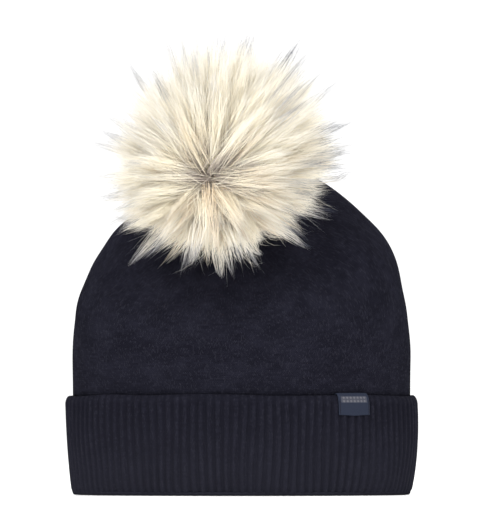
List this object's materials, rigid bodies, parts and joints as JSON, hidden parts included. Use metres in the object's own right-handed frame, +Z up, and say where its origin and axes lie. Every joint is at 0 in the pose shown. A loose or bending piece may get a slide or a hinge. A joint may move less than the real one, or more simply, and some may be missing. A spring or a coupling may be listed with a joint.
{
  "type": "pom pom beanie",
  "caption": "Knitted beanie, open below, with a jersey crown, a ribbed cuff that turns down, a small woven label and a faux fur pom on a snap that nods, spins and pulls off.",
  "frame": {"origin": "centre of the head opening, in the plane of the rim the hat stands on", "axes": "+Z up out of the crown, -Y towards the wearer's front, +X towards the side with the woven label"},
  "size_m": [0.2188, 0.2365, 0.2739],
  "materials": {
    "jersey": "matt fine knit, navy melange",
    "ribbing": "matt two by two rib knit, navy melange",
    "yarn": "matt spun yarn",
    "woven_label": "fine damask weave, plain but for a band of small diamonds",
    "satin": "printed-label satin, blank",
    "felt": "pressed felt",
    "snap_metal": "nickel-plated, satin",
    "disc_plastic": "moulded",
    "backing": "knitted fur backing",
    "stuffing": "polyester fibre fill",
    "fur": "long faux fur, taupe root, cream length, grey tips"
  },
  "bodies": {
    "hat": {"crown_shell": "jersey", "rib_band": "ribbing", "cuff_ply": "ribbing", "linking_yarn": "yarn", "back_seam": "yarn", "care_label_stitches": "satin"},
    "cuff_edge": {"cuff_hem": "ribbing", "woven_label": "woven_label", "label_stitches": "yarn"},
    "care_label": {"care_label": "satin"},
    "crown_gather": {"gather_cord": "yarn"},
    "crown_tip": {"crown_tip": "jersey", "felt_washer": "felt", "stud_cap": "snap_metal", "snap_stud": "snap_metal"},
    "snap_spring": {"snap_spring": "snap_metal"},
    "pom": {"snap_socket": "snap_metal", "base_disc": "disc_plastic", "socket_cap": "snap_metal", "drawstring": "backing", "fur_backing": "backing", "pom_stuffing": "stuffing", "fur_pile": "fur"}
  },
  "joints": [
    {"name": "cuff_turn_down", "type": "slide", "parent": "hat", "child": "cuff_edge", "axis": [0, 0, -1], "range_m": [0, 0.12], "deforming": ["cuff_ply"]},
    {"name": "crown_sway", "type": "hinge", "parent": "hat", "child": "crown_gather", "pos_m": [-0.00821, -0.04221, 0.176], "axis": [-0.1031, -0.5304, -0.8414], "range_deg": [-12, 12], "stiffness_Nm_per_rad": 0.02},
    {"name": "crown_nod", "type": "hinge", "parent": "crown_gather", "child": "crown_tip", "pos_m": [-0.00821, -0.04221, 0.176], "axis": [-0.9816, 0.1908, 0], "range_deg": [-10, 14], "stiffness_Nm_per_rad": 0.02},
    {"name": "snap_release", "type": "slide", "parent": "crown_tip", "child": "snap_spring", "axis": [-0.1606, -0.826, 0.5404], "range_m": [0, 0.04]},
    {"name": "pom_spin", "type": "hinge", "parent": "snap_spring", "child": "pom", "pos_m": [-0.00821, -0.04221, 0.176], "axis": [-0.1606, -0.826, 0.5404], "continuous": true},
    {"name": "care_label_swing", "type": "hinge", "parent": "hat", "child": "care_label", "pos_m": [0, 0.07113, 0.055], "axis": [-1, 0, 0], "range_deg": [0, 75]}
  ]
}
